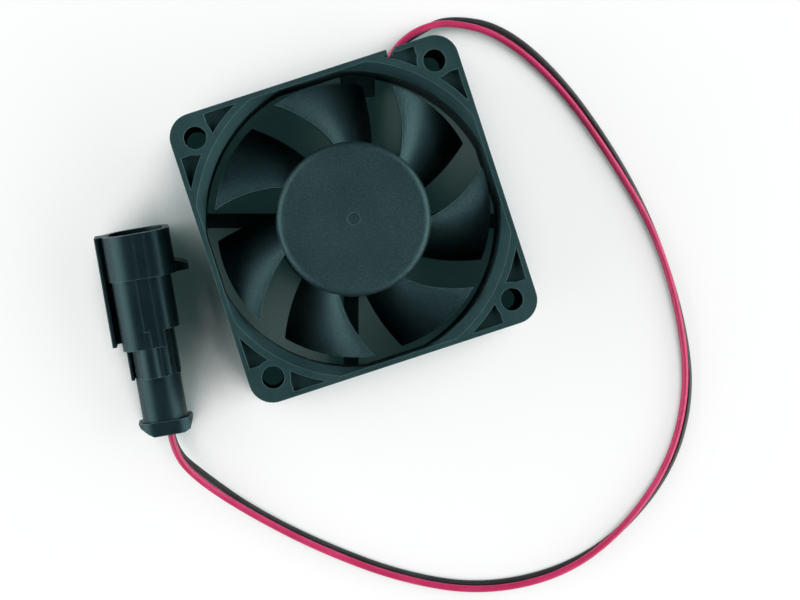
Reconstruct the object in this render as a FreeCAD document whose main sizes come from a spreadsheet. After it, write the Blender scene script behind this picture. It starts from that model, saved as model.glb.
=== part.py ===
"""Server fan module: a 60 mm axial fan with a ball-bearing motor, two leads and a sealed connector.

Frame of the part: origin under the fan's centre, +Z along the shaft towards the inlet, millimetres.
The rear face of the frame lies in the plane z = 0, where the strut side of the fan rests.
"""
import FreeCAD, Part
import math
import os
import re
import Sketcher

Vector = FreeCAD.Vector
X_AXIS, Y_AXIS, Z_AXIS = Vector(1, 0, 0), Vector(0, 1, 0), Vector(0, 0, 1)
SAME = 0.01            # two places or directions closer than this are the same
SKETCH_SPREAD = 10     # a sketch's corners start this far out, before their constraints place them
FULL_ROUND = 0.48      # largest rounding of an edge, as a share of the wall
BEND_SHARE = 0.45      # a lead's bend takes this share of the shorter run beside it
BLADE_STEPS = 8        # stretches along a blade's section
BLADE_SECTIONS = 6     # sections along a blade

doc = FreeCAD.newDocument("server_fan_module")

# ---------------------------------------------------------------- driving dimensions
# alias, value in millimetres or degrees, what it sets
SIZES = [
    ("side_length", 60.0, "outside width of the square frame"),
    ("frame_depth", 25.0, "frame from the rear face to the inlet face"),
    ("corner_radius", 4.8, "outside corners of the frame"),
    ("flat_wall", 1.05, "frame wall beside the air passage, at the middle of a side"),
    ("pocket_wall", 1.0, "outer wall beside a corner pocket"),
    ("bore_inset", 0.4, "from the outside of a side's middle to the round air passage"),
    ("inlet_flare", 1.8, "widening of the air passage towards the inlet face"),
    ("inlet_depth", 3.0, "height of the inlet cone"),
    ("inlet_land", 1.4, "flat face between the inlet's lip and a corner pocket"),
    ("pocket_depth", 1.5, "corner pockets in the inlet face"),
    ("pocket_floor", 1.6, "floor between the front and the rear corner pockets"),
    ("hole_inset", 5.0, "from a side's outside to the screw holes"),
    ("hole_radius", 2.25, "screw holes"),
    ("boss_radius", 3.5, "round wall about a screw hole"),
    ("boss_shoulder", 3.0, "from a screw hole's centre to the end of the pocket beside it"),
    ("slot_width", 1.7, "wire slot in the outer wall"),
    ("slot_inset", 12.65, "wire slot's place along the wall, from the side's end"),
    ("exit_width", 4.3, "wire slot's wide foot"),
    ("strut_width", 3.0, "plain strut"),
    ("strut_height", 3.6, "plain strut"),
    ("lead_strut_width", 4.4, "strut that carries the leads"),
    ("lead_angle", 72.0, "direction of that strut, from +X"),
    ("channel_play", 0.3, "leads' channel beyond their width and height"),
    ("channel_roof", 0.8, "strut over the leads' channel"),
    ("gusset_reach", 4.0, "gusset beside the lead strut, from the air passage's wall inwards"),
    ("gusset_width", 4.8, "that gusset, from the strut's middle"),
    ("bend_room", 1.4, "channel's widening where the leads bend towards the slot"),
    ("base_radius", 15.6, "motor base"),
    ("base_bottom", 0.2, "rear face of the motor base"),
    ("base_floor", 0.8, "motor base's plate"),
    ("base_rim_wall", 1.2, "rim of the motor base"),
    ("base_rim_top", 5.5, "rim of the motor base"),
    ("label_margin", 1.4, "motor base round the plain disc"),
    ("label_thickness", 0.12, "plain disc"),
    ("shaft_radius", 1.5, "shaft"),
    ("shaft_bottom", 2.0, "rear end of the shaft"),
    ("shaft_top", 23.7, "front end of the shaft"),
    ("groove_depth", 0.3, "clip's groove in the shaft"),
    ("clip_bottom", 2.35, "rear face of the retaining clip"),
    ("clip_thickness", 0.3, "retaining clip"),
    ("clip_radius", 2.6, "retaining clip"),
    ("clip_mouth", 1.7, "gap in the retaining clip"),
    ("washer_thickness", 0.25, "shim between clip and rear bearing"),
    ("washer_radius", 2.15, "shim"),
    ("bearing_radius", 4.0, "ball bearing outside"),
    ("bearing_width", 4.0, "ball bearing"),
    ("rear_bearing_bottom", 3.0, "rear face of the rear bearing"),
    ("front_bearing_bottom", 14.2, "rear face of the front bearing"),
    ("inner_race_radius", 2.3, "outside of an inner race"),
    ("outer_race_bore", 3.2, "inside of an outer race"),
    ("ball_radius", 0.6, "bearing ball"),
    ("ball_pitch", 2.75, "circle of the balls' centres"),
    ("ball_count", 7, "balls in a bearing"),
    ("race_play", 0.05, "radial play of a ball in its grooves"),
    ("cage_wall", 0.3, "radial thickness of a ball cage"),
    ("cage_height", 1.7, "ball cage along the shaft"),
    ("shield_thickness", 0.2, "bearing shield"),
    ("shield_gap", 0.1, "between a shield and the inner race"),
    ("tube_radius", 4.6, "brass bearing tube"),
    ("tube_neck", 3.3, "bore of the tube between the bearings"),
    ("tube_top", 18.6, "front end of the bearing tube"),
    ("fit_play", 0.03, "radial play of a pushed-in piece"),
    ("boss_wall", 1.0, "plastic boss about the bearing tube"),
    ("boss_top", 8.3, "front end of that boss"),
    ("board_ledge", 1.2, "ledge on the boss under the circuit board"),
    ("board_bottom", 4.1, "rear face of the circuit board"),
    ("board_thickness", 0.8, "circuit board"),
    ("board_gap", 0.8, "between the circuit board and the motor base's rim"),
    ("insulator_thickness", 0.8, "stator insulator"),
    ("insulator_lip", 1.3, "insulator's wall along the pole tips"),
    ("core_height", 7.0, "stator lamination stack"),
    ("core_ring", 1.9, "radial width of the stack's centre ring"),
    ("core_radius", 11.0, "stator outside"),
    ("pole_thickness", 1.4, "pole shoe"),
    ("pole_gap", 2.4, "slot between pole shoes"),
    ("arm_width", 3.2, "stator arm"),
    ("arm_cover", 0.25, "insulator beyond the arm on each side"),
    ("coil_start", 6.9, "inner end of a winding"),
    ("coil_end", 8.9, "outer end of a winding"),
    ("coil_build", 1.2, "thickness of a winding"),
    ("coil_play", 0.1, "winding's play on the insulated arm"),
    ("coil_round", 0.5, "outer corners of a winding"),
    ("pin_radius", 0.3, "winding pins"),
    ("pin_circle", 8.2, "circle of the winding pins"),
    ("magnet_gap", 0.4, "air gap between the stator and the magnet"),
    ("magnet_thickness", 1.7, "ring magnet"),
    ("magnet_bottom", 8.0, "rear end of the ring magnet"),
    ("magnet_height", 11.0, "ring magnet"),
    ("yoke_wall", 0.8, "steel cup"),
    ("hub_radius", 15.5, "impeller hub"),
    ("hub_bottom", 6.3, "rear edge of the hub"),
    ("hub_top", 24.6, "front face of the hub"),
    ("hub_face", 1.6, "thickness of the hub's face"),
    ("hub_round", 1.5, "rounded edge of the hub's face"),
    ("hub_boss_radius", 3.6, "shaft boss inside the hub"),
    ("hub_boss_bottom", 19.6, "rear end of the shaft boss"),
    ("dimple_radius", 1.25, "recess in the middle of the hub's face"),
    ("dimple_depth", 0.25, "that recess"),
    ("spring_wire", 0.16, "radius of the preload spring's wire"),
    ("spring_radius", 1.95, "preload spring"),
    ("spring_turns", 2.5, "preload spring"),
    ("blade_count", 7, "impeller blades"),
    ("tip_gap", 1.35, "between the blade tips and the narrowest place of the air passage"),
    ("blade_thickness", 1.3, "impeller blade"),
    ("blade_root", 0.6, "how far a blade reaches into the hub's wall"),
    ("blade_spare", 1.0, "blade blank beyond its ends, before it is trimmed"),
    ("blade_top", 23.2, "leading edge of a blade"),
    ("blade_bottom", 7.6, "trailing edge of a blade"),
    ("blade_rise_share", 0.12, "share of the fall that the leading edge's slope would give alone"),
    ("blade_edge_share", 0.72, "share of the blade's thickness at its two edges"),
    ("root_lead_angle", 54.0, "leading edge at the hub, degrees from +X on the first blade"),
    ("root_trail_angle", 25.0, "trailing edge at the hub"),
    ("tip_lead_angle", 73.5, "leading edge at the tip"),
    ("tip_trail_angle", 35.5, "trailing edge at the tip"),
    ("blade_turn_angle", -18.0, "turn of the whole impeller at rest"),
    ("wire_radius", 0.7, "insulated lead"),
    ("conductor_radius", 0.3, "bare end of a lead"),
    ("wire_gap", 0.1, "between the two leads where they lie on one another"),
    ("black_level", 1.75, "axis of the lower lead in the strut"),
    ("red_inset", 1.6, "soldered end of the upper lead from the circuit board's edge"),
    ("black_inset", 4.2, "soldered end of the lower lead from the circuit board's edge"),
    ("exit_inset", 12.05, "where the leads leave the frame, from the side's end"),
    ("knee_run", 2.0, "from a lead's bend at the outer wall to where it leaves the frame"),
    ("exit_angle", 42.0, "direction in which they leave, from +X"),
    ("exit_run", 2.8, "straight stretch of a free lead outside the slot"),
    ("tail_x", -48.97, "middle of the connector's tail face"),
    ("tail_y", -29.41, "middle of the connector's tail face"),
    ("tail_z", 5.7, "middle of the connector's tail face"),
    ("plug_turn_angle", -8.34, "connector's turn about +Z"),
    ("plug_tilt_angle", 5.25, "connector's rise towards its mouth"),
    ("tail_run", 4.5, "straight stretch of a free lead behind the connector"),
    ("cavity_x", 0.6, "the two terminal cavities, across the connector"),
    ("cavity_pitch", 5.0, "between the two terminal cavities"),
    ("seal_radius", 2.0, "wire seal and its bore"),
    ("seal_start", 1.2, "tail end of a wire seal, from the tail face"),
    ("seal_length", 5.0, "wire seal"),
    ("seal_groove", 0.35, "depth between a seal's ribs"),
    ("terminal_radius", 1.3, "terminal cavity"),
    ("lead_depth", 8.0, "how far a lead goes into the connector"),
    ("contact_body", 21.6, "front end of a contact's round body"),
    ("contact_tip", 36.1, "front end of a contact's blade"),
    ("contact_width", 1.5, "contact blade"),
    ("contact_thick", 0.7, "contact blade"),
    ("collar_length", 2.9, "tail collar"),
    ("collar_back", 1.0, "rear wall of the tail collar"),
    ("collar_wall", 0.95, "tail collar beside the barrel"),
    ("collar_height", 11.2, "tail collar"),
    ("barrel_end", 12.05, "front end of the tail barrel"),
    ("barrel_width", 9.1, "tail barrel"),
    ("barrel_height", 10.4, "tail barrel"),
    ("barrel_round", 4.0, "long edges of the tail barrel"),
    ("waist_end", 18.1, "front end of the narrow stage"),
    ("waist_width", 8.6, "narrow stage"),
    ("waist_shift", 0.5, "narrow stage's middle from the connector's middle"),
    ("waist_bead", 2.8, "radius of the narrow stage's swelling"),
    ("waist_height", 12.8, "narrow stage"),
    ("waist_round", 3.0, "long edges of the narrow stage"),
    ("step_end", 21.6, "front end of the recess beside the narrow stage"),
    ("step_side", 3.0, "inner wall of that recess, in the middle stage"),
    ("recess_side", 3.0, "inner wall of that recess, in the narrow stage"),
    ("recess_level", 3.4, "floor of that recess"),
    ("body_end", 32.4, "front end of the middle stage"),
    ("middle_width", 12.0, "middle stage"),
    ("middle_height", 14.6, "middle stage"),
    ("middle_round", 4.6, "long edges of the middle stage"),
    ("middle_bead_left", 4.0, "radius of the middle stage's left swelling"),
    ("middle_bead_right", 3.6, "radius of the middle stage's right swelling"),
    ("middle_left_edge", 2.1, "right side of the middle stage's left swelling"),
    ("middle_right_edge", 6.1, "right side of the middle stage's right swelling"),
    ("left_crest", 0.16, "left swellings above the top of their stage"),
    ("right_crest", 0.12, "right swellings above the top of their stage"),
    ("plug_length", 41.6, "tail face to mouth"),
    ("mouth_floor", 22.5, "bottom of the mouth's cavity"),
    ("shroud_wall", 1.2, "wall of the shroud"),
    ("shroud_left", 6.3, "shroud's left side from the connector's middle"),
    ("shroud_right", 7.2, "shroud's right side"),
    ("shroud_below", 7.7, "shroud's underside"),
    ("shroud_above", 8.0, "shroud's top"),
    ("shroud_round", 5.4, "long edges of the shroud"),
    ("shroud_bead_left", 5.2, "radius of the shroud's left swelling"),
    ("shroud_bead_right", 4.6, "radius of the shroud's right swelling"),
    ("shroud_left_edge", 4.0, "right side of the shroud's left swelling"),
    ("shroud_right_edge", 7.4, "right side of the shroud's right swelling"),
    ("rail_reach", 8.0, "outer face of the side rail from the connector's middle"),
    ("rail_thickness", 0.9, "side rail and the web that carries it"),
    ("rail_below", 4.2, "lower edge of the side rail"),
    ("rail_above", 3.4, "upper edge of the side rail"),
    ("rib_reach", 5.4, "outer face of the short rib"),
    ("rib_thickness", 0.7, "short rib and its web"),
    ("rib_below", 2.2, "lower edge of the short rib"),
    ("rib_above", 2.8, "upper edge of the short rib"),
    ("latch_reach", 9.9, "nose of the latch wedge"),
    ("latch_start", 6.7, "front end of the latch wedge, from the mouth"),
    ("latch_nose", 7.9, "front edge of its nose, from the mouth"),
    ("latch_height", 6.8, "latch wedge"),
    ("lock_gap", 0.9, "between the pin lock plate and the mouth's walls"),
    ("lock_thickness", 1.5, "pin lock plate"),
]
NAMES = {alias for alias, value, note in SIZES}

sheet = doc.addObject("Spreadsheet::Sheet", "Sizes")
for row, (alias, value, note) in enumerate(SIZES, start=1):
    sheet.set(f"A{row}", alias)
    sheet.set(f"B{row}", str(value))
    sheet.set(f"C{row}", note)
    sheet.setAlias(f"B{row}", alias)
doc.recompute()


def size(alias):
    """A driving dimension as a number."""
    return float(sheet.get(alias))


# Sizes that follow from others, as expressions.
BORE = "(side_length / 2 - bore_inset)"
INLET = f"({BORE} + inlet_flare)"
HOLE = "(side_length / 2 - hole_inset)"
TIP = f"(min({BORE}; side_length / 2 - flat_wall) - tip_gap)"
BOARD = "(base_radius - base_rim_wall - board_gap)"
WALL_LINE = "(side_length / 2 - flat_wall - wire_radius - channel_play / 2)"
CHANNEL_TOP = "(black_level + 3 * wire_radius + wire_gap + channel_play / 2)"


def bound(text):
    """An expression in which every alias of the sheet is spelt in full."""
    return re.sub(r"[a-z]+(?:_[a-z]+)*", lambda word: "Sizes." + word.group() if word.group() in NAMES
                  else word.group(), str(text))


def value(text):
    """An expression's value as a number."""
    return float(sheet.evalExpression(bound(text)))


# ---------------------------------------------------------------- helpers: bound solids
def bind(item, **links):
    """Bind properties to sheet expressions; x, y, z and turn stand for the placement."""
    paths = {"x": "Placement.Base.x", "y": "Placement.Base.y", "z": "Placement.Base.z"}
    for key, text in links.items():
        item.setExpression(paths.get(key, key), bound(text))
    return item


def cylinder(name, radius, bottom, top, x="0", y="0"):
    """Upright cylinder between two levels."""
    item = doc.addObject("Part::Cylinder", name)
    return bind(item, Radius=radius, Height=f"({top}) - ({bottom})", x=x, y=y, z=bottom)


def block(name, x_range, y_range, z_range):
    """Box between three pairs of levels."""
    item = doc.addObject("Part::Box", name)
    spans = {"Length": x_range, "Width": y_range, "Height": z_range}
    bind(item, **{side: f"({high}) - ({low})" for side, (low, high) in spans.items()})
    return bind(item, x=x_range[0], y=y_range[0], z=z_range[0])


def fused(name, items):
    """Union of several solids."""
    item = doc.addObject("Part::MultiFuse", name)
    item.Shapes = items
    item.Refine = True
    return item


def cut(name, base, tool):
    """Base without tool."""
    item = doc.addObject("Part::Cut", name)
    item.Base, item.Tool = base, tool
    return item


def common(name, base, tool):
    """What base and tool share."""
    item = doc.addObject("Part::Common", name)
    item.Base, item.Tool = base, tool
    return item


def rounded(name, base, radius, axis):
    """Base with the straight edges along one axis rounded; the wall limits the radius."""
    doc.recompute()
    box = base.Shape.BoundBox
    spans = [span for span, way in ((box.XLength, X_AXIS), (box.YLength, Y_AXIS), (box.ZLength, Z_AXIS))
             if abs(way.dot(axis)) < SAME]
    radius = min(radius, FULL_ROUND * min(spans))
    item = doc.addObject("Part::Fillet", name)
    item.Base = base
    edges = [(number, radius, radius) for number, edge in enumerate(base.Shape.Edges, start=1)
             if abs(edge.tangentAt(edge.FirstParameter).dot(axis)) > 1 - SAME]
    item.Edges = edges
    return item


def rounded_rim(name, base, radius, rim, level):
    """Base with one circular edge about the shaft rounded; rim is that circle's radius."""
    doc.recompute()
    item = doc.addObject("Part::Fillet", name)
    item.Base = base
    item.Edges = [(number, radius, radius) for number, edge in enumerate(base.Shape.Edges, start=1)
                  if edge.Closed and abs(edge.BoundBox.XLength / 2 - rim) < SAME
                  and abs(edge.BoundBox.ZMax - level) < SAME]
    return item


def turned_copies(name, base, count):
    """A base solid and its copies, evenly spaced about the shaft."""
    doc.recompute()
    item = doc.addObject("Part::Feature", name)
    shapes = []
    for index in range(count):
        shape = base.Shape.copy()
        shape.rotate(Vector(), Z_AXIS, 360 * index / count)
        shapes.append(shape)
    item.Shape = Part.makeCompound(shapes)
    return item


def turn(name, item, degrees):
    """An item turned about the shaft; it keeps its own bound placement inside a holder."""
    holder = doc.addObject("Part::Compound", name)
    holder.Links = [item]
    holder.Placement = FreeCAD.Placement(Vector(), FreeCAD.Rotation(Z_AXIS, degrees))
    return holder


# ---------------------------------------------------------------- helpers: bodies with sketches
def sketch_on(body, name, role):
    """Empty sketch on one of the body's own origin planes."""
    plane = next(item for item in body.Origin.OriginFeatures if item.Role == role)
    sketch = body.newObject("Sketcher::SketchObject", name)
    sketch.AttachmentSupport = [(plane, "")]
    sketch.MapMode = "FlatFace"
    return sketch


def outline(sketch, corners):
    """Closed straight-sided outline; both coordinates of each corner are sheet expressions."""
    count = len(corners)
    start = [Vector(math.cos(2 * math.pi * i / count), math.sin(2 * math.pi * i / count), 0) * SKETCH_SPREAD
             for i in range(count)]
    for index in range(count):
        sketch.addGeometry(Part.LineSegment(start[index], start[(index + 1) % count]))
    for index in range(count):
        after = (index + 1) % count
        sketch.addConstraint(Sketcher.Constraint("Coincident", index, 2, after, 1))
    for index, corner in enumerate(corners):
        for kind, text, value in zip(("DistanceX", "DistanceY"), corner, start[index]):
            number = sketch.addConstraint(Sketcher.Constraint(kind, -1, 1, index, 1, value))
            sketch.setExpression(f"Constraints[{number}]", bound(text))


def turned(name, corners):
    """Body of revolution about the shaft; corners are (radius, level) pairs."""
    body = doc.addObject("PartDesign::Body", name)
    sketch = sketch_on(body, name + "_section", "XZ_Plane")
    outline(sketch, corners)
    revolution = body.newObject("PartDesign::Revolution", name + "_turning")
    revolution.Profile = sketch
    revolution.ReferenceAxis = (sketch, ["V_Axis"])
    revolution.Angle = 360
    sketch.Visibility = False
    return body


def ring(name, inner, outer, bottom, top):
    """Plain ring about the shaft."""
    return turned(name, [(inner, bottom), (outer, bottom), (outer, top), (inner, top)])


def prism(name, corners, bottom, top):
    """Body padded from a straight-sided outline between two levels."""
    body = doc.addObject("PartDesign::Body", name)
    sketch = sketch_on(body, name + "_outline", "XY_Plane")
    outline(sketch, corners)
    sketch.setExpression("AttachmentOffset.Base.z", bound(bottom))
    pad = body.newObject("PartDesign::Pad", name + "_pad")
    pad.Profile = sketch
    pad.setExpression("Length", bound(f"({top}) - ({bottom})"))
    sketch.Visibility = False
    return body


# ---------------------------------------------------------------- helpers: leads
def bend_radius(before, corner, after):
    """Radius of the arc at a route's corner: a share of the shorter run, over tan of half the turn."""
    way_in, way_out = corner - before, after - corner
    reach = BEND_SHARE * min(way_in.Length, way_out.Length)
    return reach / math.tan(way_in.getAngle(way_out) / 2)


def lead_path(points):
    """Straight runs joined by tangent arcs."""
    edges, place = [], points[0]
    for before, corner, after in zip(points, points[1:], points[2:]):
        way_in, way_out = (corner - before), (after - corner)
        reach = BEND_SHARE * min(way_in.Length, way_out.Length)
        radius = bend_radius(before, corner, after)
        start = corner - way_in.normalize() * reach
        end = corner + way_out.normalize() * reach
        inward = (way_out - way_in).normalize()
        half = way_in.getAngle(way_out) / 2
        middle = corner + inward * (radius / math.cos(half) - radius)
        edges.append(Part.LineSegment(place, start).toShape())
        edges.append(Part.Arc(start, middle, end).toShape())
        place = end
    edges.append(Part.LineSegment(place, points[-1]).toShape())
    return Part.Wire(edges)


def lead(name, points, radius):
    """Round tube along a route; prints its radii and compares its volume with section times length."""
    path = lead_path(points)
    section = Part.Wire([Part.makeCircle(radius, points[0], points[1] - points[0])])
    item = doc.addObject("Part::Feature", name)
    item.Shape = path.makePipeShell([section], True, False)
    radii = [bend_radius(*trio) for trio in zip(points, points[1:], points[2:])]
    expected = math.pi * radius ** 2 * path.Length
    print(f"{name}: length {path.Length:.1f}, volume {item.Shape.Volume / expected:.4f} of expected,",
          "radii", " ".join(f"{value:.1f}" for value in radii))
    return item


# ---------------------------------------------------------------- frame housing
def corner_items(make, name):
    """One item at each screw hole; make gets a name and the hole's place."""
    items = []
    for x_sign in ("", "-"):
        for y_sign in ("", "-"):
            place = (f"{x_sign}{HOLE}", f"{y_sign}{HOLE}")
            items.append(make(f"{name}_{len(items)}", *place))
    return items


def frame_pockets():
    """The corner pockets, shallow in the inlet face and deep in the rear face, with a floor between."""
    half = "(side_length / 2 - pocket_wall)"
    front_floor = "frame_depth - pocket_depth"
    squares = [
        block("pocket_square_front", (f"-{half}", half), (f"-{half}", half),
              (front_floor, "frame_depth + 1")),
        block("pocket_square_rear", (f"-{half}", half), (f"-{half}", half),
              ("-1", f"{front_floor} - pocket_floor"))]
    levels = ("-2", "frame_depth + 2")
    core = cylinder("pocket_core", f"{INLET} + inlet_land", *levels)
    bosses = corner_items(lambda name, x, y: cylinder(name, "boss_radius", *levels, x, y), "pocket_boss")
    inner = f"({HOLE} - boss_shoulder)"
    outer = "(side_length / 2 + 1)"
    ranges = ((inner, outer), (f"-{outer}", f"-{inner}"))
    corners = [block(f"pocket_corner_{i}{j}", ranges[i], ranges[j], levels)
               for i in (0, 1) for j in (0, 1)]
    return cut("pockets", fused("pocket_squares", squares),
               fused("pocket_islands", [core] + bosses + corners))


def air_passage():
    """The bore with its inlet cone, both cut off by the side walls."""
    half = "(side_length / 2 - flat_wall)"
    square = block("passage_square", (f"-{half}", half), (f"-{half}", half), ("-1", "frame_depth + 1"))
    bore = cylinder("passage_bore", BORE, "-1", "frame_depth + 1")
    cone = doc.addObject("Part::Cone", "passage_cone")
    bind(cone, Radius1=BORE, Radius2=INLET, Height="inlet_depth", z="frame_depth - inlet_depth")
    return common("passage", square, fused("passage_round", [bore, cone]))


def struts():
    """Four struts between the motor base and the frame; the widest carries the leads."""
    start = "base_radius - base_rim_wall / 2"
    end = f"{BORE} + 1"
    items = []
    for index in range(4):
        width = "strut_width" if index else "lead_strut_width"
        height = "strut_height" if index else f"{CHANNEL_TOP} + channel_roof"
        item = block(f"strut_bar_{index}", (start, end), (f"-{width} / 2", f"{width} / 2"), ("0", height))
        items.append(turn(f"strut_{index}", item, size("lead_angle") + 90 * index))
    gusset = block("gusset_bar", (f"{BORE} - gusset_reach", end), ("-gusset_width", "0"),
                   ("0", f"{CHANNEL_TOP} + channel_roof"))
    return items + [turn("gusset", gusset, size("lead_angle"))]


def lead_channel():
    """Window in the base's rim and a channel in the rear: out along the lead strut, then along the wall."""
    low = "black_level - wire_radius - channel_play / 2"
    half = "(wire_radius + channel_play / 2)"
    depth = ("-1", CHANNEL_TOP)
    knee = f"({WALL_LINE} / sin(lead_angle))"
    knee_x = f"({WALL_LINE} / tan(lead_angle))"
    window = block("channel_window", ("base_radius - base_rim_wall - 1", "base_radius + 0.1"),
                   (f"-{half}", half), (low, CHANNEL_TOP))
    trench = block("channel_trench", ("base_radius", knee), (f"-{half}", half), depth)
    relief = block("channel_relief", (f"{knee} - 2 * {half} - bend_room", f"{knee} - {half}"),
                   (f"-{half} - bend_room", "0"), depth)
    out = turn("channel_out", fused("channel_bars", [window, trench, relief]), size("lead_angle"))
    corner = block("channel_corner", (f"{knee_x} - {half} / 2", f"{knee_x} + 2 * {half} + bend_room"),
                   (f"{WALL_LINE} - {half} - bend_room", WALL_LINE), depth)
    side = block("channel_side", (f"{knee_x} - {half}", "side_length / 2 - exit_inset"),
                 (f"{WALL_LINE} - {half}", f"{WALL_LINE} + {half}"), depth)
    return fused("lead_channel", [out, corner, side])


def wire_slots():
    """Narrow slot through the full height of the outer wall, and its wide foot for the leads."""
    outside = "side_length / 2 + 1"
    centre = "(side_length / 2 - slot_inset)"
    foot = "(side_length / 2 - exit_inset)"
    narrow = block("slot_narrow", (f"{centre} - slot_width / 2", f"{centre} + slot_width / 2"),
                   ("side_length / 2 - pocket_wall - 0.5", outside), ("-1", "frame_depth + 1"))
    wide = block("slot_foot", (f"{foot} - exit_width / 2", f"{foot} + exit_width / 2"),
                 ("side_length / 2 - pocket_wall - 1.4", outside),
                 ("black_level - wire_radius - channel_play / 2", CHANNEL_TOP))
    return [narrow, wide]


def motor_base():
    """Motor base: plate with a rim, a boss for the bearing tube and a ledge for the circuit board."""
    floor_top = "base_bottom + base_floor"
    tube_seat = "rear_bearing_bottom - 0.1"
    boss_bore = "tube_radius + fit_play"
    boss_outer = f"{boss_bore} + boss_wall"
    return turned("motor_base", [
        ("tube_radius - 0.6", "base_bottom"), ("base_radius", "base_bottom"),
        ("base_radius", "base_rim_top"), ("base_radius - base_rim_wall", "base_rim_top"),
        ("base_radius - base_rim_wall", floor_top), (f"{boss_outer} + board_ledge", floor_top),
        (f"{boss_outer} + board_ledge", "board_bottom"), (boss_outer, "board_bottom"),
        (boss_outer, "boss_top"), (boss_bore, "boss_top"), (boss_bore, tube_seat),
        ("tube_radius - 0.6", tube_seat)])


def frame_housing():
    """Square frame with its corner pockets, air passage, struts and motor base, one moulding."""
    half = "side_length / 2"
    square = block("frame_block", (f"-{half}", half), (f"-{half}", half), ("0", "frame_depth"))
    outer = rounded("frame_outer", square, size("corner_radius"), Z_AXIS)
    shell = cut("frame_shell", outer, fused("frame_hollows", [frame_pockets(), air_passage()]))
    solid = fused("frame_solid", [shell, motor_base()] + struts())
    holes = corner_items(lambda name, x, y: cylinder(
        name, "hole_radius", "-1", "frame_depth + 1", x, y), "screw_hole")
    return cut("frame_housing", solid, fused("frame_cuts", holes + [lead_channel()] + wire_slots()))


# ---------------------------------------------------------------- bearings and shaft
def bearing_tube():
    """Brass tube with a shoulder between the two bearings."""
    seat = "bearing_radius + fit_play"
    return turned("bearing_tube", [
        (seat, "rear_bearing_bottom - 0.1"), ("tube_radius", "rear_bearing_bottom - 0.1"),
        ("tube_radius", "tube_top"), (seat, "tube_top"), (seat, "front_bearing_bottom"),
        ("tube_neck", "front_bearing_bottom"), ("tube_neck", "rear_bearing_bottom + bearing_width"),
        (seat, "rear_bearing_bottom + bearing_width")])


def ball_groove(name, middle):
    """The round groove that the balls of a bearing run in."""
    torus = doc.addObject("Part::Torus", name)
    return bind(torus, Radius1="ball_pitch", Radius2="ball_radius + race_play", z=middle)


def balls(name, middle):
    """The balls of a bearing, evenly spaced."""
    sphere = doc.addObject("Part::Sphere", name + "_first")
    bind(sphere, Radius="ball_radius", x="ball_pitch", z=middle)
    return turned_copies(name, sphere, int(size("ball_count")))


def cage_windows(name, middle):
    """Round windows of a ball cage, one for each ball."""
    window = doc.addObject("Part::Cylinder", name + "_first")
    window.Placement = FreeCAD.Placement(Vector(), FreeCAD.Rotation(Y_AXIS, 90))
    bind(window, Radius="ball_radius + race_play", Height="2 * ball_radius", z=middle,
         x="ball_pitch - ball_radius")
    return turned_copies(name, window, int(size("ball_count")))


def bearing(side, bottom):
    """A shielded ball bearing as five nodes: two races, balls, cage and shields."""
    top = f"{bottom} + bearing_width"
    middle = f"{bottom} + bearing_width / 2"
    outer = cut(f"{side}_bearing_outer_race",
                ring(f"{side}_outer_blank", "outer_race_bore", "bearing_radius", bottom, top),
                ball_groove(f"{side}_outer_groove", middle))
    inner = cut(f"{side}_bearing_inner_race",
                ring(f"{side}_inner_blank", "shaft_radius + fit_play", "inner_race_radius", bottom, top),
                ball_groove(f"{side}_inner_groove", middle))
    cage = cut(f"{side}_ball_cage",
               ring(f"{side}_cage_blank", "ball_pitch - cage_wall / 2", "ball_pitch + cage_wall / 2",
                    f"{middle} - cage_height / 2", f"{middle} + cage_height / 2"),
               cage_windows(f"{side}_cage_windows", middle))
    shield = ("inner_race_radius + shield_gap", "outer_race_bore - fit_play / 2")
    shields = fused(f"{side}_bearing_shields", [
        ring(f"{side}_rear_shield", *shield, bottom, f"{bottom} + shield_thickness"),
        ring(f"{side}_front_shield", *shield, f"{top} - shield_thickness", top)])
    return [outer, inner, balls(f"{side}_balls", middle), cage, shields]


def shaft():
    """Steel shaft with the clip's groove."""
    groove = "shaft_radius - groove_depth"
    return turned("shaft", [
        ("0", "shaft_bottom"), ("shaft_radius - 0.15", "shaft_bottom"),
        ("shaft_radius", "shaft_bottom + 0.15"), ("shaft_radius", "clip_bottom - 0.02"),
        (groove, "clip_bottom - 0.02"), (groove, "clip_bottom + clip_thickness + 0.02"),
        ("shaft_radius", "clip_bottom + clip_thickness + 0.02"),
        ("shaft_radius", "shaft_top"), ("0", "shaft_top")])


def retaining_clip():
    """Open spring clip in the shaft's groove."""
    top = "clip_bottom + clip_thickness"
    disc = ring("clip_ring", "shaft_radius - groove_depth + fit_play", "clip_radius", "clip_bottom", top)
    mouth = block("clip_opening", ("0", "clip_radius + 1"), ("-clip_mouth / 2", "clip_mouth / 2"),
                  ("clip_bottom - 1", f"{top} + 1"))
    return cut("retaining_clip", disc, mouth)


def thrust_washer():
    """Shim between the clip and the rear bearing's inner race."""
    return ring("thrust_washer", "shaft_radius + fit_play", "washer_radius",
                "rear_bearing_bottom - washer_thickness", "rear_bearing_bottom")


def preload_spring():
    """Coil spring between the front bearing's inner race and the hub's boss."""
    wire, radius, turns = size("spring_wire"), size("spring_radius"), size("spring_turns")
    bottom = size("front_bearing_bottom") + size("bearing_width") + wire + 0.02
    rise = size("hub_boss_bottom") - wire - 0.02 - bottom
    helix = Part.makeHelix(rise / turns, rise, radius)
    section = Part.Wire([Part.makeCircle(wire, Vector(radius, 0, 0), Y_AXIS)])
    item = doc.addObject("Part::Feature", "preload_spring")
    item.Shape = Part.Wire(helix.Edges).makePipeShell([section], True, True)
    item.Placement = FreeCAD.Placement(Vector(0, 0, bottom), FreeCAD.Rotation())
    return item


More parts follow.
